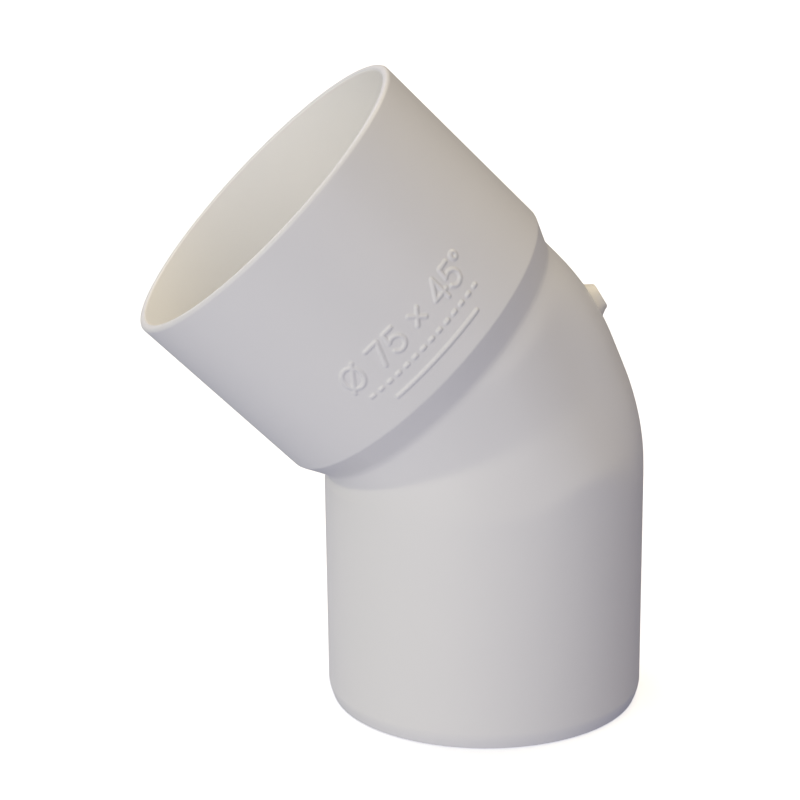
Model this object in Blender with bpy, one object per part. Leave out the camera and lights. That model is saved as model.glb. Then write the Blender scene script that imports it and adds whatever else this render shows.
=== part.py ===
"""A 45 degree solvent-weld pipe elbow: a bell socket on one end, a plain spigot on the other.

The spigot stands upright on its cut end, and the socket leans over towards -X. The origin is at
the bottom, under the middle of the elbow's bounding box. Sizes are in metres.
"""

import math

import bmesh
import bpy
from mathutils import Vector

# Driving dimensions
PIPE_RADIUS = 0.0375  # outside radius of the spigot, for a 75 mm line
BORE_RADIUS = 0.0347
BEND_RADIUS = 0.03655  # outside radius of the bend, a little slimmer than the spigot
BEND_ANGLE = math.radians(45)
SOCKET_RADIUS = 0.0396  # outside radius of the bell
SOCKET_BORE_AT_STOP = 0.0375
SOCKET_BORE_AT_MOUTH = 0.0377

# Distances from the crossing of the two axes, along each axis
SPIGOT_LENGTH = 0.0710
BEND_REACH = 0.0175  # where the bend ends, the same on both legs
SHOULDER_END = 0.0244
SOCKET_END = 0.0722

# Edges
LEAD_IN_HEIGHT = 0.0040
LEAD_IN_DEPTH = 0.0009
LIP_OUTER_ROUND = 0.0005
LIP_INNER_ROUND = 0.0004
SPIGOT_BORE_ROUND = 0.0003

# Outside of the bend: its corner is cut by a facet at half the bend angle, with rounded ends
CORNER_CUT = 0.0157  # from the uncut corner to the end of the facet, along a leg
CORNER_RADIUS = 0.0585
CUT_STARTS = math.radians(110)  # angle round the pipe, from the outside of the bend
CUT_IS_FULL = math.radians(40)
LEAST_CUT = 0.035  # share of the cut left at the inside of the bend, which softens its crease

# Stub left where the moulding gate was cut off
GATE_TILT = math.radians(30)  # of its axis, up from level
GATE_BASE_RADIUS = 0.0042
GATE_TOP_RADIUS = 0.0030
GATE_HEIGHT = 0.0022
GATE_EDGE = 0.0004

# Mesh resolution
SIDES = 72
GATE_SIDES = 24
ARC_STEPS = 4
CORNER_STEPS = 6
LEG_STEPS = 3

GAP = 0.0003  # between neighbouring solids
HALF_BEND = BEND_ANGLE / 2

PVC = ((0.76, 0.75, 0.74), 0.42)
GATE_PVC = ((0.80, 0.76, 0.66), 0.55)


def clear_scene():
    for obj in list(bpy.data.objects):
        bpy.data.objects.remove(obj, do_unlink=True)


def plastic(name, colour, roughness):
    material = bpy.data.materials.new(name)
    material.use_nodes = True
    shader = material.node_tree.nodes["Principled BSDF"]
    shader.inputs["Base Color"].default_value = (*colour, 1.0)
    shader.inputs["Roughness"].default_value = roughness
    shader.inputs["Metallic"].default_value = 0.0
    return material


def arc(centre, radius, start, end, steps):
    """Points (r, z) on a circle about centre, from angle start to angle end in degrees."""
    points = []
    for step in range(steps + 1):
        angle = math.radians(start + (end - start) * step / steps)
        points.append((centre[0] + radius * math.cos(angle), centre[1] + radius * math.sin(angle)))
    return points


def ring_solid(name, section_at, sides):
    """One closed body: section_at(angle) gives its wall's closed outline at each angle round it.

    The outline runs up the outside and down the inside.
    """
    bm = bmesh.new()
    loops = []
    for side in range(sides):
        angle = 2 * math.pi * side / sides
        loops.append([bm.verts.new(point) for point in section_at(angle)])
    for loop, after in zip(loops, loops[1:] + loops[:1]):
        for index in range(len(loop)):
            following = (index + 1) % len(loop)
            bm.faces.new((loop[index], after[index], after[following], loop[following]))
    return finished(name, bm)


def turned_solid(name, profile, sides):
    """One closed body turned about local Z, from the profile (r, z) of its side, from foot to top."""
    bm = bmesh.new()
    rings = []
    for radius, height in profile:
        ring = []
        for side in range(sides):
            angle = 2 * math.pi * side / sides
            ring.append(bm.verts.new((radius * math.cos(angle), radius * math.sin(angle), height)))
        rings.append(ring)
    for lower, upper in zip(rings, rings[1:]):
        for index in range(sides):
            following = (index + 1) % sides
            bm.faces.new((lower[index], lower[following], upper[following], upper[index]))
    bm.faces.new(rings[0][::-1])
    bm.faces.new(rings[-1])
    return finished(name, bm)


def finished(name, bm):
    mesh = bpy.data.meshes.new(name)
    bm.to_mesh(mesh)
    bm.free()
    mesh.shade_smooth()
    mesh.set_sharp_from_angle(angle=math.radians(30))
    obj = bpy.data.objects.new(name, mesh)
    bpy.context.scene.collection.objects.link(obj)
    return obj


def about_axis(profile):
    """A section function for ring_solid that turns the closed profile (r, z) about local Z."""

    def section_at(angle):
        return [Vector((r * math.cos(angle), r * math.sin(angle), z)) for r, z in profile]

    return section_at


def guide_frame(name, parent, location, tilt):
    """An empty whose Z runs along a leg of the elbow; tilt turns it about Y."""
    empty = bpy.data.objects.new(name, None)
    empty.empty_display_size = 0.02
    bpy.context.scene.collection.objects.link(empty)
    empty.parent = parent
    empty.location = location
    empty.rotation_euler = (0.0, tilt, 0.0)
    return empty


def smooth_step(value):
    clamped = min(max(value, 0.0), 1.0)
    return clamped * clamped * (3 - 2 * clamped)


def cut_share(angle):
    """How much of the corner cut applies at this angle round the pipe, where 0 is the outside."""
    from_outside = abs((angle + math.pi) % (2 * math.pi) - math.pi)
    share = smooth_step((CUT_STARTS - from_outside) / (CUT_STARTS - CUT_IS_FULL))
    return LEAST_CUT + (1 - LEAST_CUT) * share


def bend_line(radius, foot_radius, angle):
    """Points along one line of a mitred pipe, from the spigot leg's end to the socket leg's end.

    The lower half runs up beside the spigot's axis, turns through the rounded end of the facet
    and reaches the mitre plane square to it. The upper half is its mirror image in that plane.
    The lower half then widens towards its foot, from radius to foot_radius.
    """
    across = radius * math.cos(angle)
    share = cut_share(angle) * radius / BEND_RADIUS
    turn_radius = CORNER_RADIUS * share
    turn_start = across * math.tan(HALF_BEND) - CORNER_CUT * share
    turn_start -= turn_radius * math.tan(HALF_BEND / 2)
    along_facet = Vector((-math.sin(HALF_BEND), math.cos(HALF_BEND)))
    lower = [
        Vector((across, -BEND_REACH + (turn_start + BEND_REACH) * step / LEG_STEPS))
        for step in range(LEG_STEPS)
    ]
    for step in range(CORNER_STEPS + 1):
        turned = HALF_BEND * step / CORNER_STEPS
        x = across - turn_radius * (1 - math.cos(turned))
        lower.append(Vector((x, turn_start + turn_radius * math.sin(turned))))
    lower.append(lower[-1] - along_facet * lower[-1].dot(along_facet))
    upper = [point - 2 * along_facet * point.dot(along_facet) for point in lower[-2::-1]]
    height = lower[-1].y + BEND_REACH
    line = []
    for index, point in enumerate(lower + upper):
        flare = 0.0
        if index < len(lower):
            flare = (foot_radius - radius) * (1 - smooth_step((point.y + BEND_REACH) / height))
        x = point.x + flare * math.cos(angle)
        y = (radius + flare) * math.sin(angle)
        line.append(Vector((x, y, point.y)))
    return line


def bend_section(angle):
    outside = bend_line(BEND_RADIUS, PIPE_RADIUS, angle)
    inside = bend_line(BORE_RADIUS, BORE_RADIUS, angle)
    return outside + inside[::-1]


def bell_profile():
    """Wall of the bell: outside up to the rounded lip, then down the slightly tapered bore."""
    root = SHOULDER_END + GAP
    outer_lip = (SOCKET_RADIUS - LIP_OUTER_ROUND, SOCKET_END - LIP_OUTER_ROUND)
    inner_lip = (SOCKET_BORE_AT_MOUTH + LIP_INNER_ROUND, SOCKET_END - LIP_INNER_ROUND)
    points = [(SOCKET_RADIUS, root)]
    points += arc(outer_lip, LIP_OUTER_ROUND, 0, 90, ARC_STEPS)
    points += arc(inner_lip, LIP_INNER_ROUND, 90, 180, ARC_STEPS)
    points.append((SOCKET_BORE_AT_STOP, root))
    return points


def shoulder_profile():
    """Cone that widens the pipe to the bell, with the ledge that stops the pipe inside the bell."""
    start = BEND_REACH + GAP
    widening = (SOCKET_RADIUS - BEND_RADIUS) * GAP / (SHOULDER_END - BEND_REACH)
    ledge_radius = SOCKET_BORE_AT_STOP - GAP
    return [
        (BEND_RADIUS + widening, start),
        (SOCKET_RADIUS, SHOULDER_END),
        (ledge_radius, SHOULDER_END),
        (ledge_radius, SHOULDER_END + GAP),
        (BORE_RADIUS, SHOULDER_END + GAP),
        (BORE_RADIUS, start),
    ]


def spigot_profile():
    """Wall of the spigot, with the sloping lead-in at its cut end."""
    bore_edge = (BORE_RADIUS + SPIGOT_BORE_ROUND, -SPIGOT_LENGTH + SPIGOT_BORE_ROUND)
    return [
        (PIPE_RADIUS - LEAD_IN_DEPTH, -SPIGOT_LENGTH),
        (PIPE_RADIUS, -SPIGOT_LENGTH + LEAD_IN_HEIGHT),
        (PIPE_RADIUS, -BEND_REACH - GAP),
        (BORE_RADIUS, -BEND_REACH - GAP),
        *arc(bore_edge, SPIGOT_BORE_ROUND, 180, 270, ARC_STEPS // 2),
    ]


def gate_profile():
    """Side of the tapered stub, up to its rounded top edge."""
    top_edge = (GATE_TOP_RADIUS - GATE_EDGE, GATE_HEIGHT - GATE_EDGE)
    return [(GATE_BASE_RADIUS, 0.0), *arc(top_edge, GATE_EDGE, 0, 90, ARC_STEPS)]


def gate_stub(crossing):
    """Stub on the crown of the bend, on the upper rounded end of the facet."""
    outward = Vector((math.cos(GATE_TILT), 0.0, math.sin(GATE_TILT)))
    crown_line = bend_line(BEND_RADIUS, PIPE_RADIUS, 0.0)
    crown = max(crown_line, key=outward.dot)
    stub = turned_solid("gate_stub", gate_profile(), GATE_SIDES)
    stub.parent = crossing
    stub.location = crown + outward * GAP
    stub.rotation_euler = (0.0, math.radians(90) - GATE_TILT, 0.0)
    return stub


def build():
    clear_scene()
    lip_centre = SOCKET_END - LIP_OUTER_ROUND
    lip_radius = SOCKET_RADIUS - LIP_OUTER_ROUND
    overhang = lip_centre * math.sin(BEND_ANGLE) + lip_radius * math.cos(BEND_ANGLE)
    overhang += LIP_OUTER_ROUND
    spigot_x = (overhang - PIPE_RADIUS) / 2
    crossing = guide_frame("axes_crossing", None, (spigot_x, 0.0, SPIGOT_LENGTH), 0.0)
    socket_axis = guide_frame("socket_axis", crossing, (0.0, 0.0, 0.0), -BEND_ANGLE)

    bell = ring_solid("socket_bell", about_axis(bell_profile()), SIDES)
    shoulder = ring_solid("socket_shoulder", about_axis(shoulder_profile()), SIDES)
    bend = ring_solid("bend_body", bend_section, SIDES)
    spigot = ring_solid("spigot", about_axis(spigot_profile()), SIDES)
    bell.parent = socket_axis
    shoulder.parent = socket_axis
    bend.parent = crossing
    spigot.parent = crossing
    stub = gate_stub(crossing)

    for obj in (bell, shoulder, bend, spigot):
        obj.data.materials.append(plastic(obj.name + "_pvc", *PVC))
    stub.data.materials.append(plastic("gate_stub_pvc", *GATE_PVC))
    bpy.context.view_layer.update()


build()
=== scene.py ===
"""Looks of a 45 degree solvent-weld pipe elbow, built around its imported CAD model."""

import math

import bpy
import numpy as np
from mathutils import Matrix, Vector


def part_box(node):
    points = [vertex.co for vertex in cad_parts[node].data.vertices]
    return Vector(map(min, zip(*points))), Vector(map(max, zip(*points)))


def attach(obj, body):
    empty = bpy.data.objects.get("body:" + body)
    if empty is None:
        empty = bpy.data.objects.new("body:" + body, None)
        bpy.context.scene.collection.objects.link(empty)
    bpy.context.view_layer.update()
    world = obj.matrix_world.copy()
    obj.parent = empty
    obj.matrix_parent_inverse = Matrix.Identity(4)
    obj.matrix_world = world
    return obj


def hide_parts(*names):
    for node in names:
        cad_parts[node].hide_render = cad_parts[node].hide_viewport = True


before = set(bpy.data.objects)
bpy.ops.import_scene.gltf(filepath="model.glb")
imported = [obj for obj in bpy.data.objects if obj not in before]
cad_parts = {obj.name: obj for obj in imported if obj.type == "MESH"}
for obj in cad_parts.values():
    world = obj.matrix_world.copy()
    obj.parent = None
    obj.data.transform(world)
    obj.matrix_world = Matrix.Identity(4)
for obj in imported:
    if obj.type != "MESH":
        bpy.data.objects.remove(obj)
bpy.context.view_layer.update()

MM = 0.001

# Sizes in millimetres, along each leg from the crossing of the two axes
spigot_low, spigot_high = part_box("spigot")
PIPE_RADIUS = spigot_high.y / MM
BORE_RADIUS = 34.7
BEND_RADIUS = 36.55
NECK_RADIUS = 36.75  # of the socket leg, between the bend and the cone
SOCKET_RADIUS = 39.6
SOCKET_BORE_AT_STOP = 37.5
SOCKET_BORE_AT_MOUTH = 37.7
SPIGOT_LENGTH = 71.0
BEND_REACH = 17.5
SHOULDER_END = 24.4
SOCKET_END = 72.2
CROSSING = Vector(
    ((spigot_low.x + spigot_high.x) / 2, 0.0, spigot_low.z + SPIGOT_LENGTH * MM)
)

# Edges
CONE_EDGE = 0.35  # between the cone and the bell
BELL_START = SHOULDER_END + CONE_EDGE
LIP_HEIGHT = 1.2  # the plain wall of the bell ends this far below the mouth
LIP_OUTER_ROUND = 0.85
LIP_INNER_ROUND = 0.6
LEDGE_CORNER = 0.25  # where the ledge meets the socket's bore
BORE_ROUND = 0.3  # at both ends of the pipe's bore

# Lead-in of the spigot: a curved slope above an eased edge, given as (depth, height) points
FOOT_EDGE = ((1.25, 0.0), (1.08, 0.06))
LEAD_IN_START = 0.2
LEAD_IN_HEIGHT = 3.6
LEAD_IN_DEPTH = 0.98
LEAD_IN_CURVE = 1.6

# The cone between the bend and the bell, with a soft fillet at its foot
CONE_SLOPE = math.radians(23.8)
CONE_FILLET = 5.5

# Pairs of angles below are in degrees round the pipe from the outside of the bend. Between them
# a size grows from nothing to full, or goes from its first value to its second.

# Crown of the bend: its corner is cut by a facet at half the bend angle, with rounded ends
BEND_ANGLE = math.radians(45)
HALF_BEND = BEND_ANGLE / 2
CORNER_CUT = 15.7
CORNER_RADIUS = 58.5
CUT_ANGLES = (110, 40)
LEAST_CUT = 0.035

# Rest of the bend: straight lines from the legs to the mitre plane
STRAIGHT_ANGLES = (26, 52)
LINE_STARTS = (-10.0, -17.0)  # along the leg, which ends at -BEND_REACH
LINE_START_ANGLES = (60, 95)
LAST_START_ON_SOCKET = -13.5  # the lines leave the socket leg here at the latest
START_SOFTNESS = (5.0, 1.2)
SOFTNESS_ANGLES = (30, 65)

# Section in the mitre plane: cut at the crown and a little on the inside, narrowed at the sides
CROWN_CUT = 8.2
CROWN_CUT_ANGLES = (125, 40)
INSIDE_CUT = 0.45
INSIDE_CUT_ANGLES = (125, 165)
NARROWING = 0.042
NARROWING_ANGLES = (145, 90)

# Rounding of the crease in the mitre plane, on the inside of the bend and at its sides
CREASE_WIDTHS = (0.35, 1.65)
CREASE_ANGLES = (150, 60)
CREASE_REACH = 3.5  # in widths, after which nothing is rounded

# Rows along the bend and the cone
LEG_STEPS = 6
CORNER_STEPS = 12
FACET_STEPS = 3
CONE_ROWS = 24
HALF_ROWS = 44  # of the outside, up to the mitre plane
ROW_CROWDING = 1.6  # towards the mitre plane; 1 would be even

# Columns round the pipe: coarse ones everywhere, and finer ones across the raised size mark
COARSE_STEP = 1.5
FINE_PER_COARSE = 5
MARK_FROM, MARK_TO = -126.0, -49.5

# The mould's parting line, a faint ridge in the plane of both axes, with columns of its own
PARTING_COLUMNS = (0.25, 0.5)
PARTING_WIDTH = 0.5
PARTING_HEIGHT = 0.11
PARTING_AT_FOOT = (4, 8)  # rows without it above the foot, then rows in which it rises
PARTING_AT_LIP = (5, 4)  # the same below the lip

BORE_AFTER_LIP = 4  # rows past the top of the lip, where the bore's lighter colour starts: painted light, a brighter copy of the plastic that stands in for the light inside the socket

# Raised size mark on the front of the bell, above a row of dots and a bar
MARK_CENTRE = math.radians(-88)
MARK_ROWS = (27.0, 44.0)
MARK_ROW_STEP = 0.2
MARK_HEIGHT = 0.26
MARK_EDGE = 0.26
HALF_STROKE = 0.42
MARK_TEXT = "O 75 x 45o"
LETTERS_AT = 36.2
LETTER_HEIGHT = 5.2
LETTER_SPACING = 0.26  # for a letter 1 high
DOTS_AT = 33.0
DOTS = 14
DOT_STEP = 2.5
DOT_HALF_LENGTH = 0.3
BAR_AT = 29.3
BAR_HALF_LENGTH = 12.5

# Stub left where the moulding gate was cut off
GATE_TILT = math.radians(30)  # of its axis, up from level
GATE_TURN = math.radians(5)  # of its axis, towards the front
GATE_RISE = 1.2  # up the crown
GATE_SIDES = 64
GATE_SCALE = 0.98
GATE_TOP = 1.87
GATE_ROOT = 1.3  # how deep it is sunk into the wall

SPIGOT_X = np.array([1.0, 0.0, 0.0])
SPIGOT_UP = np.array([0.0, 0.0, 1.0])
SOCKET_X = np.array([math.cos(BEND_ANGLE), 0.0, math.sin(BEND_ANGLE)])
SOCKET_UP = np.array([-math.sin(BEND_ANGLE), 0.0, math.cos(BEND_ANGLE)])
ACROSS = np.array([0.0, 1.0, 0.0])
MITRE = np.array([math.cos(HALF_BEND), 0.0, math.sin(HALF_BEND)])
FACET = np.array([-math.sin(HALF_BEND), 0.0, math.cos(HALF_BEND)])


def smooth_step(value):
    clamped = np.clip(value, 0.0, 1.0)
    return clamped * clamped * (3 - 2 * clamped)


def column_angles():
    """Angles round the pipe in radians, and which of them are the coarse ones."""
    angles, coarse = [], []
    for step in range(round(360 / COARSE_STEP)):
        start = -180 + step * COARSE_STEP
        end = start + COARSE_STEP
        parts = FINE_PER_COARSE if MARK_FROM <= start < MARK_TO else 1
        added = [start + COARSE_STEP * part / parts for part in range(parts)]
        coarse.extend(part == 0 for part in range(parts))
        parting = [start + beside for beside in PARTING_COLUMNS] if start in (-180, 0) else []
        if end in (0, 180):
            parting += [end - beside for beside in PARTING_COLUMNS[::-1]]
        coarse.extend(True for _ in parting)
        angles.extend(added + parting)
    return np.radians(angles), np.array(coarse)


ANGLES, COARSE = column_angles()
FROM_OUTSIDE = np.degrees(np.abs((ANGLES + math.pi) % (2 * math.pi) - math.pi))


def out_from_axis(x_axis):
    """Unit vectors out from a leg's axis, one for each column."""
    return np.cos(ANGLES)[:, None] * x_axis + np.sin(ANGLES)[:, None] * ACROSS


SPIGOT_OUT = out_from_axis(SPIGOT_X)
SOCKET_OUT = out_from_axis(SOCKET_X)


def growth(angles):
    """A share for each column that grows from 0 to 1 between two angles from the outside."""
    start, end = angles
    return smooth_step((FROM_OUTSIDE - start) / (end - start))


def between(values, angles):
    """A value for each column that goes from the first to the second between two angles."""
    return values[0] + (values[1] - values[0]) * growth(angles)


# ---- outlines
def oval_arc(centre, radii, start, end, steps):
    turned = np.radians(np.linspace(start, end, steps + 1))
    return [
        (centre[0] + radii[0] * math.cos(a), centre[1] + radii[1] * math.sin(a)) for a in turned
    ]


def arc(centre, radius, start, end, steps):
    return oval_arc(centre, (radius, radius), start, end, steps)


def straight(start, end, steps):
    """Points from start to end, with the first one left out."""
    return [
        tuple(np.array(start) + (np.array(end) - np.array(start)) * step / steps)
        for step in range(1, steps + 1)
    ]


def curved_corner(start, corner, end, steps):
    """Points of a curve from start to end drawn towards the corner, with the first left out."""
    start, corner, end = np.array(start), np.array(corner), np.array(end)
    return [
        tuple((1 - t) ** 2 * start + 2 * t * (1 - t) * corner + t * t * end)
        for t in np.linspace(0, 1, steps + 1)[1:]
    ]


def turned_rows(profile, out, up):
    """Rows of points about a leg's axis, from a profile of (radius, distance along the leg)."""
    profile = np.array(profile)
    radius, along = profile[:, 0, None, None], profile[:, 1, None, None]
    return radius * out + along * up


# ---- bend
def mirrored(lower):
    """The mirror image in the mitre plane of the rows up to it, from the plane onwards."""
    return (lower - 2 * FACET * (lower @ FACET)[..., None])[-2::-1]


def rounded_half(radius, foot_flare):
    """Rows of a mitred pipe from the spigot leg's end to the mitre plane.

    Each line runs up beside the leg, turns through the rounded end of the facet and reaches the
    plane square to it. At its foot the pipe is wider by foot_flare.
    """
    across = radius * np.cos(ANGLES)
    share = (LEAST_CUT + (1 - LEAST_CUT) * growth(CUT_ANGLES)) * radius / BEND_RADIUS
    turn_radius = CORNER_RADIUS * share
    turn_start = across * math.tan(HALF_BEND) - CORNER_CUT * share
    turn_start = turn_start - turn_radius * math.tan(HALF_BEND / 2)
    rows = []
    for step in range(LEG_STEPS):
        z = -BEND_REACH + (turn_start + BEND_REACH) * step / LEG_STEPS
        rows.append(across[:, None] * SPIGOT_X + z[:, None] * SPIGOT_UP)
    for turned in np.linspace(0, HALF_BEND, CORNER_STEPS + 1):
        x = across - turn_radius * (1 - math.cos(turned))
        z = turn_start + turn_radius * math.sin(turned)
        rows.append(x[:, None] * SPIGOT_X + z[:, None] * SPIGOT_UP)
    facet_start = rows[-1]
    for step in range(1, FACET_STEPS + 1):
        to_plane = FACET * (facet_start @ FACET)[:, None]
        rows.append(facet_start - to_plane * step / FACET_STEPS)
    rows = np.array(rows)
    height = rows[..., 2] + BEND_REACH
    flare = foot_flare * (1 - smooth_step(height / height[-1]))
    rows[..., 0] += flare * np.cos(ANGLES)
    rows[..., 1] = (radius + flare) * np.sin(ANGLES)
    return rows


def mitre_section():
    """Where the straight lines of the bend meet the mitre plane, one point for each column."""
    in_plane = PIPE_RADIUS / math.cos(HALF_BEND) * np.cos(ANGLES)
    in_plane += INSIDE_CUT * growth(INSIDE_CUT_ANGLES) - CROWN_CUT * growth(CROWN_CUT_ANGLES)
    across = PIPE_RADIUS * np.sin(ANGLES) * (1 - NARROWING * growth(NARROWING_ANGLES))
    return in_plane[:, None] * MITRE + across[:, None] * ACROSS


def lofted_half(radius, share, line_starts):
    """Straight lines from a leg's circle to the mitre section, with a soft start."""
    section = mitre_section()
    circle = radius * SPIGOT_OUT
    z = -BEND_REACH + share[:, None] * (section[:, 2] + BEND_REACH)
    past = z - line_starts
    ramp = (past + np.sqrt(past**2 + between(START_SOFTNESS, SOFTNESS_ANGLES) ** 2)) / 2
    ramp -= ramp[0] * (1 - share[:, None])
    ramp /= ramp[-1]
    points = circle + (section - circle) * ramp[..., None]
    points[..., 2] = z
    return points


def outside_half(radius, last_start):
    """Rows from a leg's end to the mitre plane: rounded at the crown, straight elsewhere."""
    share = 1 - (1 - np.linspace(0, 1, HALF_ROWS)) ** ROW_CROWDING
    rounded = rounded_half(BEND_RADIUS, radius - BEND_RADIUS)
    height = rounded[..., 2] + BEND_REACH
    progress = height / height[-1]
    resampled = np.empty((HALF_ROWS, len(ANGLES), 3))
    for column in range(len(ANGLES)):
        for axis in range(3):
            line = rounded[:, column, axis]
            resampled[:, column, axis] = np.interp(share, progress[:, column], line)
    line_starts = np.minimum(between(LINE_STARTS, LINE_START_ANGLES), last_start)
    lofted = lofted_half(radius, share, line_starts)
    straightness = growth(STRAIGHT_ANGLES)[:, None]
    return resampled * (1 - straightness) + lofted * straightness


def softened_crease(points):
    """Rounds the crease in the mitre plane, a little inside the bend and more at its sides."""
    width = between(CREASE_WIDTHS, CREASE_ANGLES)
    steps = np.linalg.norm(np.diff(points, axis=0), axis=-1)
    along = np.concatenate([np.zeros((1, steps.shape[1])), np.cumsum(steps, axis=0)])
    along = along - along[len(points) // 2]
    spacing = np.gradient(along, axis=0)
    smoothed = points.copy()
    for row in range(1, len(points) - 1):
        weight = np.exp(-0.5 * ((along - along[row]) / width) ** 2) * spacing
        weight /= weight.sum(axis=0)
        mean = (points * weight[..., None]).sum(axis=0)
        share = smooth_step(CREASE_REACH - np.abs(along[row]) / width)[:, None]
        smoothed[row] = points[row] * (1 - share) + mean * share
    return smoothed


def cone_widening(reach):
    """How far the socket leg has widened from its neck at this distance along it."""
    rise = math.tan(CONE_SLOPE)
    foot = SHOULDER_END - (SOCKET_RADIUS - NECK_RADIUS) / rise
    half = CONE_FILLET * math.tan(CONE_SLOPE / 2)
    in_fillet = np.clip(reach - (foot - half), 0, half * (1 + math.cos(CONE_SLOPE)))
    widening = CONE_FILLET - np.sqrt(np.maximum(CONE_FILLET**2 - in_fillet**2, 0))
    past = reach - (foot + half * math.cos(CONE_SLOPE))
    return widening + np.maximum(past, 0) * rise


def bend_outside():
    """The outside of the bend, already a little widened by the cone's fillet at its upper end."""
    lower = outside_half(PIPE_RADIUS, max(LINE_STARTS))
    upper = mirrored(outside_half(NECK_RADIUS, LAST_START_ON_SOCKET))
    points = softened_crease(np.concatenate([lower, upper]))
    widening = np.zeros(points.shape[:2])
    widening[HALF_ROWS:] = cone_widening(upper @ SOCKET_UP)
    return points + widening[..., None] * SOCKET_OUT


def bend_inside():
    lower = rounded_half(BORE_RADIUS, 0.0)
    return np.concatenate([lower, mirrored(lower)])[::-1]


# ---- raised size mark
# Each letter has its width and its lines, for a height of 1; "O" stands for the diameter sign
# and "o" for the degree sign.
LETTERS = {
    "O": (
        0.86,
        [oval_arc((0.43, 0.5), (0.43, 0.5), 0, 360, steps=28), [(0.0, -0.04), (0.86, 1.04)]],
    ),
    "7": (0.62, [[(0.0, 1.0), (0.62, 1.0), (0.2, 0.0)]]),
    "5": (
        0.62,
        [
            [(0.56, 1.0), (0.1, 1.0), (0.05, 0.56)]
            + oval_arc((0.28, 0.32), (0.34, 0.32), 130, -150, steps=16)
        ],
    ),
    "4": (0.68, [[(0.52, 0.0), (0.52, 1.0), (0.0, 0.3), (0.68, 0.3)]]),
    "x": (0.5, [[(0.0, 0.2), (0.5, 0.75)], [(0.0, 0.75), (0.5, 0.2)]]),
    "o": (0.26, [arc((0.13, 0.87), 0.14, 0, 360, steps=14)]),
    " ": (0.22, []),
}


def mark_strokes():
    """Lines of the raised size mark, as (distance round the bell, distance along it)."""
    strokes = []
    total = sum(LETTERS[letter][0] + LETTER_SPACING for letter in MARK_TEXT) - LETTER_SPACING
    left = -total * LETTER_HEIGHT / 2
    for letter in MARK_TEXT:
        width, lines = LETTERS[letter]
        for line in lines:
            strokes.append(
                [(left + x * LETTER_HEIGHT, LETTERS_AT + y * LETTER_HEIGHT) for x, y in line]
            )
        left += (width + LETTER_SPACING) * LETTER_HEIGHT
    for index in range(DOTS):
        x = (index - (DOTS - 1) / 2) * DOT_STEP
        strokes.append([(x - DOT_HALF_LENGTH, DOTS_AT), (x + DOT_HALF_LENGTH, DOTS_AT)])
    strokes.append([(-BAR_HALF_LENGTH, BAR_AT), (BAR_HALF_LENGTH, BAR_AT)])
    return strokes


def mark_relief(reach):
    """Height of the raised mark over the bell, at each distance along it and each column."""
    x, y = (ANGLES - MARK_CENTRE)[None] * SOCKET_RADIUS, reach[:, None]
    nearest = np.full((len(reach), len(ANGLES)), np.inf)
    for stroke in mark_strokes():
        for (ax, ay), (bx, by) in zip(stroke, stroke[1:]):
            along_x, along_y = bx - ax, by - ay
            t = ((x - ax) * along_x + (y - ay) * along_y) / (along_x**2 + along_y**2)
            t = np.clip(t, 0, 1)
            gap = np.hypot(x - ax - t * along_x, y - ay - t * along_y)
            nearest = np.minimum(nearest, gap)
    return MARK_HEIGHT * smooth_step((HALF_STROKE + MARK_EDGE - nearest) / (2 * MARK_EDGE))


# ---- the other zones of the wall, as profiles of (radius, distance along the leg)
def spigot_outside():
    foot = -SPIGOT_LENGTH
    points = [(PIPE_RADIUS - depth, foot + height) for depth, height in FOOT_EDGE]
    for t in np.linspace(0, 1, 10):
        depth = LEAD_IN_DEPTH * (1 - t) ** LEAD_IN_CURVE
        points.append((PIPE_RADIUS - depth, foot + LEAD_IN_START + LEAD_IN_HEIGHT * t))
    return points + straight(points[-1], (PIPE_RADIUS, -BEND_REACH), steps=12)


def spigot_inside():
    edge = (BORE_RADIUS + BORE_ROUND, BORE_ROUND - SPIGOT_LENGTH)
    points = [(BORE_RADIUS, -BEND_REACH)]
    points += straight(points[-1], (BORE_RADIUS, edge[1]), steps=10)
    return points + arc(edge, BORE_ROUND, 180, 270, steps=3)[1:]


def shoulder_outside():
    points = [
        (NECK_RADIUS + float(cone_widening(reach)), reach)
        for reach in np.linspace(BEND_REACH, SHOULDER_END - CONE_EDGE, CONE_ROWS)
    ]
    corner, end = (SOCKET_RADIUS, SHOULDER_END), (SOCKET_RADIUS, BELL_START)
    return points + curved_corner(points[-1], corner, end, steps=6)


def shoulder_inside():
    """From the foot of the socket's bore over the ledge to the pipe's bore."""
    corner = (SOCKET_BORE_AT_STOP - LEDGE_CORNER, SHOULDER_END + LEDGE_CORNER)
    edge = (BORE_RADIUS + BORE_ROUND, SHOULDER_END - BORE_ROUND)
    points = [(SOCKET_BORE_AT_STOP, BELL_START)]
    points += arc(corner, LEDGE_CORNER, 0, -90, steps=3)
    points += straight(points[-1], (edge[0], SHOULDER_END), steps=3)
    points += arc(edge, BORE_ROUND, 90, 180, steps=4)[1:]
    return points + straight(points[-1], (BORE_RADIUS, BEND_REACH), steps=4)


def bell_outside():
    """Up to the inner edge of the lip, with close rows across the raised mark."""
    mark_low, mark_high = MARK_ROWS
    outer_lip = (SOCKET_RADIUS - LIP_OUTER_ROUND, SOCKET_END - LIP_OUTER_ROUND)
    inner_lip = (SOCKET_BORE_AT_MOUTH + LIP_INNER_ROUND, SOCKET_END - LIP_INNER_ROUND)
    points = [(SOCKET_RADIUS, BELL_START)]
    points += straight(points[-1], (SOCKET_RADIUS, mark_low), steps=3)
    rows = round((mark_high - mark_low) / MARK_ROW_STEP)
    points += straight(points[-1], (SOCKET_RADIUS, mark_high), steps=rows)
    points += straight(points[-1], (SOCKET_RADIUS, SOCKET_END - LIP_HEIGHT), steps=6)
    points += arc(outer_lip, LIP_OUTER_ROUND, 0, 90, steps=8)
    return points + arc(inner_lip, LIP_INNER_ROUND, 90, 180, steps=6)


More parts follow.
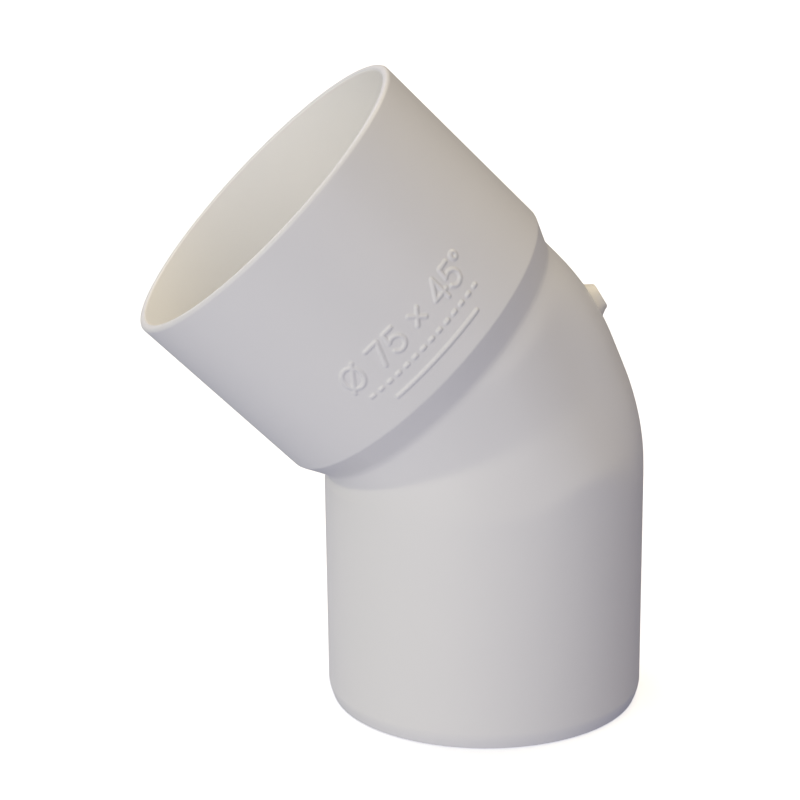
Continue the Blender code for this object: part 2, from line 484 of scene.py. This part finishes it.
def bell_rows():
    profile = bell_outside()
    profile += straight(profile[-1], (SOCKET_BORE_AT_STOP, BELL_START), steps=8)
    radii, reach = np.array(profile).T
    on_outside = np.isclose(radii, SOCKET_RADIUS)[:, None]
    relief = mark_relief(reach) * on_outside
    return turned_rows(profile, SOCKET_OUT, SOCKET_UP) + relief[..., None] * SOCKET_OUT


# ---- whole wall
def build_loop():
    """Every row of the whole wall: up the outside, over the mouth's lip and down the inside.

    Returns the rows in millimetres and the range of rows of each zone. Zones that meet share a row.
    """
    parts = {
        "spigot_outside": turned_rows(spigot_outside(), SPIGOT_OUT, SPIGOT_UP),
        "bend_outside": bend_outside(),
        "shoulder_outside": turned_rows(shoulder_outside(), SOCKET_OUT, SOCKET_UP),
        "bell": bell_rows(),
        "shoulder_inside": turned_rows(shoulder_inside(), SOCKET_OUT, SOCKET_UP),
        "bend_inside": bend_inside(),
        "spigot_inside": turned_rows(spigot_inside(), SPIGOT_OUT, SPIGOT_UP),
    }
    rows, ranges = [], {}
    for name, part in parts.items():
        shared = rows and np.allclose(rows[-1], part[0], atol=1e-6)
        first = len(rows) - 1 if shared else len(rows)
        rows.extend(part[1:] if shared else part)
        ranges[name] = range(first, len(rows))
    return np.array(rows), ranges


def loop_normals(rows):
    """A unit normal at each point, from the faces round it, weighted by their areas."""
    forward = np.roll(rows, -1, axis=0) - rows
    sideways = np.roll(rows, -1, axis=1) - rows
    far = np.roll(np.roll(rows, -1, axis=0), -1, axis=1) - rows
    faces = np.cross(sideways, far) + np.cross(far, forward)
    total = faces + np.roll(faces, 1, axis=0)
    total = total + np.roll(total, 1, axis=1)
    return total / np.linalg.norm(total, axis=-1, keepdims=True)


def with_parting_line(rows, lip_row):
    """Raises the parting line on the outside of the wall, from the foot's lead-in to the lip."""
    off_plane = np.minimum(FROM_OUTSIDE, 180 - FROM_OUTSIDE)
    ridge = PARTING_HEIGHT * smooth_step(1 - off_plane / PARTING_WIDTH)
    order = np.arange(len(rows))
    shown = np.ones(len(rows))
    for rows_away, (plain, rising) in ((order, PARTING_AT_FOOT), (lip_row - order, PARTING_AT_LIP)):
        shown *= smooth_step((rows_away - plain) / rising)
    return rows + loop_normals(rows) * (shown[:, None] * ridge)[..., None]


def mesh_object(name, points, faces):
    mesh = bpy.data.meshes.new(name)
    mesh.from_pydata(np.array(points) * MM + np.array(CROSSING), [], faces)
    mesh.shade_smooth()
    obj = bpy.data.objects.new(name, mesh)
    bpy.context.scene.collection.objects.link(obj)
    return obj


def wall_piece(name, picked, columns):
    """A closed piece of the wall, from the picked rows in order; a break between rows is capped.

    It takes its shading from the whole wall, so that no joint shows between pieces.
    """
    points = loop_rows[picked][:, columns]
    shading = normals[picked][:, columns]
    row_count, column_count = points.shape[:2]
    faces, corner_normals, in_painted_bright_bore = [], [], []
    for row in range(row_count):
        after = (row + 1) % row_count
        neighbours = abs(picked[after] - picked[row]) == 1
        at_foot = (picked[row], picked[after]) == (len(loop_rows) - 1, 0)
        capped = not neighbours and not at_foot
        if capped:
            side = points[row, 1] - points[row, 0]
            cap = np.cross(side, points[after, 0] - points[row, 0])
            cap /= np.linalg.norm(cap)
        for column in range(column_count):
            beside = (column + 1) % column_count
            corners = ((row, column), (row, beside), (after, beside), (after, column))
            faces.append([r * column_count + c for r, c in corners])
            corner_normals.extend(cap if capped else shading[r, c] for r, c in corners)
            in_painted_bright_bore.append(picked[row] in painted_bright_rows and picked[after] in painted_bright_rows)
    obj = mesh_object(name, points.reshape(-1, 3), faces)
    obj.data.normals_split_custom_set(corner_normals)
    # The second material is the bore's brighter copy of the plastic: painted light inside the
    # socket
    obj.data.materials.append(white_pvc)
    obj.data.materials.append(bore_pvc_painted_bright)
    obj.data.polygons.foreach_set("material_index", np.array(in_painted_bright_bore, np.int32))
    return obj


# ---- materials
# Sockets of a Mix node that mixes colours
MIX_SHARE, MIX_FIRST, MIX_SECOND, MIX_RESULT = 0, 6, 7, 2
ROUGHNESS_SPREAD = 0.07


def noise(tree, coordinates, scale, detail):
    node = tree.nodes.new("ShaderNodeTexNoise")
    node.inputs["Scale"].default_value = scale
    node.inputs["Detail"].default_value = detail
    tree.links.new(coordinates.outputs["Object"], node.inputs["Vector"])
    return node.outputs["Fac"]


def bump(tree, height, strength, distance):
    node = tree.nodes.new("ShaderNodeBump")
    node.inputs["Strength"].default_value = strength
    node.inputs["Distance"].default_value = distance
    tree.links.new(height, node.inputs["Height"])
    return node


def pvc(name, colour, warm, roughness):
    """Moulded plastic with a slight cloudiness, soft waves in its surface and a fine grain."""
    material = bpy.data.materials.new(name)
    material.use_nodes = True
    tree = material.node_tree
    nodes, links = tree.nodes, tree.links
    shader = nodes["Principled BSDF"]
    shader.inputs["Specular IOR Level"].default_value = 0.45
    coordinates = nodes.new("ShaderNodeTexCoord")
    cloud = noise(tree, coordinates, scale=28.0, detail=4.0)
    waves = noise(tree, coordinates, scale=70.0, detail=1.0)
    grain = noise(tree, coordinates, scale=900.0, detail=3.0)

    mix = nodes.new("ShaderNodeMix")
    mix.data_type = "RGBA"
    mix.inputs[MIX_FIRST].default_value = (*colour, 1.0)
    mix.inputs[MIX_SECOND].default_value = (*warm, 1.0)
    links.new(cloud, mix.inputs[MIX_SHARE])
    links.new(mix.outputs[MIX_RESULT], shader.inputs["Base Color"])

    rough = nodes.new("ShaderNodeMapRange")
    rough.inputs["To Min"].default_value = roughness - ROUGHNESS_SPREAD
    rough.inputs["To Max"].default_value = roughness + ROUGHNESS_SPREAD
    links.new(grain, rough.inputs["Value"])
    links.new(rough.outputs["Result"], shader.inputs["Roughness"])

    waviness = bump(tree, waves, strength=0.25, distance=0.0006)
    texture = bump(tree, grain, strength=0.12, distance=0.00012)
    links.new(waviness.outputs["Normal"], texture.inputs["Normal"])
    links.new(texture.outputs["Normal"], shader.inputs["Normal"])
    return material


white_pvc = pvc("white_pvc", (0.79, 0.78, 0.765), (0.805, 0.79, 0.77), 0.42)
# Brighter copy of the white plastic for the bore: painted light that stands in for the light
# filling the inside of the socket, not a colour of its own
bore_pvc_painted_bright = pvc("bore_pvc_painted_bright", (0.90, 0.885, 0.84), (0.91, 0.895, 0.855), 0.45)
gate_pvc = pvc("gate_pvc", (0.90, 0.86, 0.75), (0.88, 0.82, 0.70), 0.5)

# ---- pieces of the wall
loop_rows, zones = build_loop()
lip_row = max(zones["bell"], key=lambda row: loop_rows[row, 0] @ SOCKET_UP)
loop_rows = with_parting_line(loop_rows, lip_row)
normals = loop_normals(loop_rows)
all_columns = np.arange(len(ANGLES))
coarse_columns = all_columns[COARSE]
# Rows of the bore that get the brighter plastic, which is painted light
painted_bright_rows = range(lip_row + BORE_AFTER_LIP, len(loop_rows))

WALL_PIECES = (
    ("spigot_wall", "spigot", ("spigot_inside", "spigot_outside"), coarse_columns),
    ("bend_wall", "bend_body", ("bend_outside", "bend_inside"), coarse_columns),
    ("shoulder_wall", "socket_shoulder", ("shoulder_outside", "shoulder_inside"), coarse_columns),
    ("bell_wall", "socket_bell", ("bell",), all_columns),
)
for name, node, zone_names, columns in WALL_PIECES:
    picked = [row for zone in zone_names for row in zones[zone]]
    piece = wall_piece(name, picked, columns)
    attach(piece, "root")
    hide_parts(node)


# ---- gate stub
def gate_piece():
    """The stub on the crown of the bend, sunk into the wall."""
    crown_line = loop_rows[list(zones["bend_outside"])][:, np.argmin(np.abs(ANGLES))]
    crown_normal = math.cos(GATE_TILT) * SPIGOT_X + math.sin(GATE_TILT) * SPIGOT_UP
    up_crown = math.cos(GATE_TILT) * SPIGOT_UP - math.sin(GATE_TILT) * SPIGOT_X
    crown = crown_line[np.argmax(crown_line @ crown_normal)]
    outward = math.cos(GATE_TURN) * crown_normal - math.sin(GATE_TURN) * ACROSS
    sideways = np.cross(up_crown, outward)
    foot = crown + (outward - crown_normal) * BEND_RADIUS + up_crown * GATE_RISE

    # Radius and height: the root in the wall, the tapered side, the top's edge and the top
    profile = [(3.6, -GATE_ROOT), (4.7, -1.2), (4.5, -0.2), (4.3, 0.05), (4.16, 0.25)]
    profile += [(4.02, 0.45), (3.86, 0.7), (3.7, 0.95), (3.56, 1.14)]
    profile += arc((2.92, 1.18), 0.58, 10, 80, steps=5)
    profile += [(2.4, 1.79), (1.8, 1.83), (1.1, 1.85), (0.5, 1.86)]
    turned = np.linspace(0, 2 * math.pi, GATE_SIDES, endpoint=False)
    points = []
    for radius, height in profile:
        # Cut off by hand: not quite round, and not quite flat on top
        uneven = 0.03 * np.sin(2 * turned + 0.6) + 0.02 * np.sin(5 * turned + height)
        radii = radius * (GATE_SCALE + uneven)
        lift = 0.05 * np.sin(3 * turned + 0.4) * min(max(height / 2, 0), 1)
        points.extend(
            foot
            + outward * (height + lift)[:, None]
            + sideways * (radii * np.cos(turned))[:, None]
            - up_crown * (radii * np.sin(turned))[:, None]
        )
    points.append(foot + outward * GATE_TOP)
    points.append(foot - outward * GATE_ROOT)
    top, bottom = len(points) - 2, len(points) - 1
    last_ring = (len(profile) - 1) * GATE_SIDES
    faces = []
    for side in range(GATE_SIDES):
        beside = (side + 1) % GATE_SIDES
        for ring in range(0, last_ring, GATE_SIDES):
            above = ring + GATE_SIDES
            faces.append([ring + side, ring + beside, above + beside, above + side])
        faces.append([last_ring + side, last_ring + beside, top])
        faces.append([beside, side, bottom])
    return mesh_object("gate_nub", points, faces)


gate = gate_piece()
gate.data.materials.append(gate_pvc)
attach(gate, "root")
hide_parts("gate_stub")

scene = bpy.context.scene
scene.view_settings.view_transform = "Standard"

# ---- floor, a little below the spigot's end
FLOOR_HALF_SIZE = 4.5
FLOOR_LEVEL = -0.0002


def pale_floor():
    half = FLOOR_HALF_SIZE
    mesh = bpy.data.meshes.new("floor")
    corners = [(-half, -half), (half, -half), (half, half), (-half, half)]
    mesh.from_pydata([(x, y, FLOOR_LEVEL) for x, y in corners], [], [(0, 1, 2, 3)])
    material = bpy.data.materials.new("pale_floor")
    material.use_nodes = True
    shader = material.node_tree.nodes["Principled BSDF"]
    shader.inputs["Base Color"].default_value = (0.9, 0.9, 0.9, 1)
    shader.inputs["Roughness"].default_value = 0.9
    shader.inputs["Specular IOR Level"].default_value = 0.1
    shader.inputs["Emission Color"].default_value = (1, 1, 1, 1)
    shader.inputs["Emission Strength"].default_value = 0.5
    mesh.materials.append(material)
    obj = bpy.data.objects.new("floor", mesh)
    obj.visible_diffuse = False
    obj.visible_glossy = False
    scene.collection.objects.link(obj)
    return obj


floor = pale_floor()

# ---- light
# Large soft lights: the azimuth each comes from (0 is the front, -90 the left), its elevation
# and its colour times its strength
SOFT_LIGHTS = {
    "key": (-45, 12, (1.34, 1.32, 1.30)),
    "front_fill": (15, 12, (0.86, 0.82, 0.84)),
    "back_left": (-150, 38, (0.87, 0.83, 0.96)),
    "back_right": (115, 62, (1.40, 1.23, 0.93)),
}
SOFT_LIGHT_ANGLE = math.radians(50)

# Soft glow of the room, strongest in these directions: the white wall on the left, the table
GLOWS = (
    ((-1.0, 0.0, 0.0), (0.465, 0.465, 0.41)),
    ((0.0, 0.0, -1.0), (0.235, 0.245, 0.40)),
)


def soft_light(name, azimuth, elevation, colour):
    data = bpy.data.lights.new(name, "SUN")
    data.angle = SOFT_LIGHT_ANGLE
    data.energy = max(colour)
    data.color = [channel / max(colour) for channel in colour]
    light = bpy.data.objects.new(name, data)
    turned, raised = math.radians(azimuth), math.radians(elevation)
    towards = Vector((
        math.sin(turned) * math.cos(raised), -math.cos(turned) * math.cos(raised), math.sin(raised)
    ))
    light.rotation_mode = "QUATERNION"
    light.rotation_quaternion = towards.to_track_quat("Z", "Y")
    scene.collection.objects.link(light)


def glow(nodes, links, direction, colour):
    """A background that fades from its brightest in one direction to nothing opposite."""
    coordinates = nodes.new("ShaderNodeTexCoord")
    facing = nodes.new("ShaderNodeVectorMath")
    facing.operation = "DOT_PRODUCT"
    facing.inputs[1].default_value = direction
    share = nodes.new("ShaderNodeMapRange")
    share.inputs["From Min"].default_value = -1.0
    squared = nodes.new("ShaderNodeMath")
    squared.operation = "POWER"
    squared.inputs[1].default_value = 2.0
    background = nodes.new("ShaderNodeBackground")
    background.inputs["Color"].default_value = (*colour, 1.0)
    links.new(coordinates.outputs["Generated"], facing.inputs[0])
    links.new(facing.outputs["Value"], share.inputs["Value"])
    links.new(share.outputs["Result"], squared.inputs[0])
    links.new(squared.outputs["Value"], background.inputs["Strength"])
    return background


def studio_world():
    """The glow of the room round the object, seen as plain white behind it."""
    world = bpy.data.worlds.new("studio")
    world.use_nodes = True
    nodes, links = world.node_tree.nodes, world.node_tree.links
    both = nodes.new("ShaderNodeAddShader")
    for socket, (direction, colour) in zip(both.inputs, GLOWS):
        links.new(glow(nodes, links, direction, colour).outputs["Background"], socket)
    path = nodes.new("ShaderNodeLightPath")
    choose = nodes.new("ShaderNodeMixShader")
    white = nodes["Background"]
    white.inputs["Color"].default_value = (1.0, 1.0, 1.0, 1.0)
    links.new(path.outputs["Is Camera Ray"], choose.inputs["Fac"])
    links.new(both.outputs["Shader"], choose.inputs[1])
    links.new(white.outputs["Background"], choose.inputs[2])
    links.new(choose.outputs["Shader"], nodes["World Output"].inputs["Surface"])
    return world


for light_name, (azimuth, elevation, colour) in SOFT_LIGHTS.items():
    soft_light(light_name, azimuth, elevation, colour)
scene.world = studio_world()

# ---- camera, in front of the object, a little to the left of it and above
AZIMUTH, ELEVATION, ROLL = math.radians(12.06), math.radians(14.66), math.radians(-0.693)
AIM = Vector((-0.01995, 0.0, 0.00195))  # from the crossing of the axes
DISTANCE = 0.44981
SENSOR_WIDTH = 36.0
FOCAL_LENGTH = 87.36
CLIP_START, CLIP_END = 0.02, 40.0


def aimed_camera():
    data = bpy.data.cameras.new("camera")
    data.sensor_width = SENSOR_WIDTH
    data.lens = FOCAL_LENGTH
    data.clip_start, data.clip_end = CLIP_START, CLIP_END
    camera = bpy.data.objects.new("camera", data)
    scene.collection.objects.link(camera)
    forward = Vector((
        math.sin(AZIMUTH) * math.cos(ELEVATION),
        math.cos(AZIMUTH) * math.cos(ELEVATION),
        -math.sin(ELEVATION),
    ))
    right = Vector((math.cos(AZIMUTH), -math.sin(AZIMUTH), 0.0))
    up = right.cross(forward)
    rolled_right = right * math.cos(ROLL) + up * math.sin(ROLL)
    rolled_up = up * math.cos(ROLL) - right * math.sin(ROLL)
    camera.location = CROSSING + AIM - forward * DISTANCE
    axes = Matrix((rolled_right, rolled_up, -forward)).transposed()
    camera.rotation_mode = "QUATERNION"
    camera.rotation_quaternion = axes.to_quaternion()
    return camera


scene.camera = aimed_camera()

bpy.context.view_layer.update()
